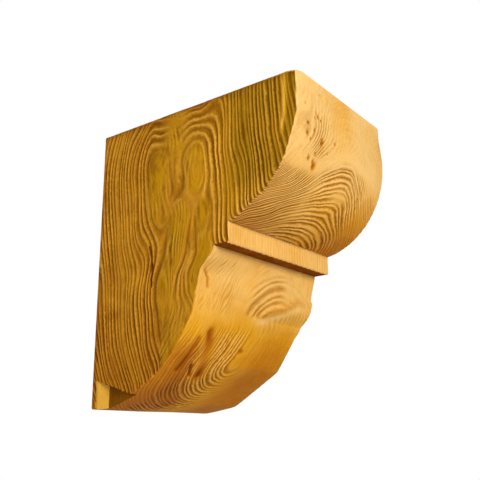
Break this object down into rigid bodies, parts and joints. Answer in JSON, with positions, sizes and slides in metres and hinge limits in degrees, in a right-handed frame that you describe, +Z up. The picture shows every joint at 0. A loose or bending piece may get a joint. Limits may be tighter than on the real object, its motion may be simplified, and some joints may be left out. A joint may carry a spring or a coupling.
{
  "type": "corbel",
  "caption": "Timber-look wall corbel with a round upper lobe, a square fillet and a hewn quarter-round foot, fixed flat to a wall under a beam.",
  "frame": {"origin": "centre of the flat back, on the wall", "axes": "+X along the width, -Y out from the wall towards the nose, +Z up"},
  "size_m": [0.176, 0.2599, 0.3],
  "materials": {
    "stained_polyurethane": "satin honey-brown wood stain over moulded timber grain"
  },
  "bodies": {
    "root": {"corbel_body": "stained_polyurethane"}
  },
  "joints": []
}
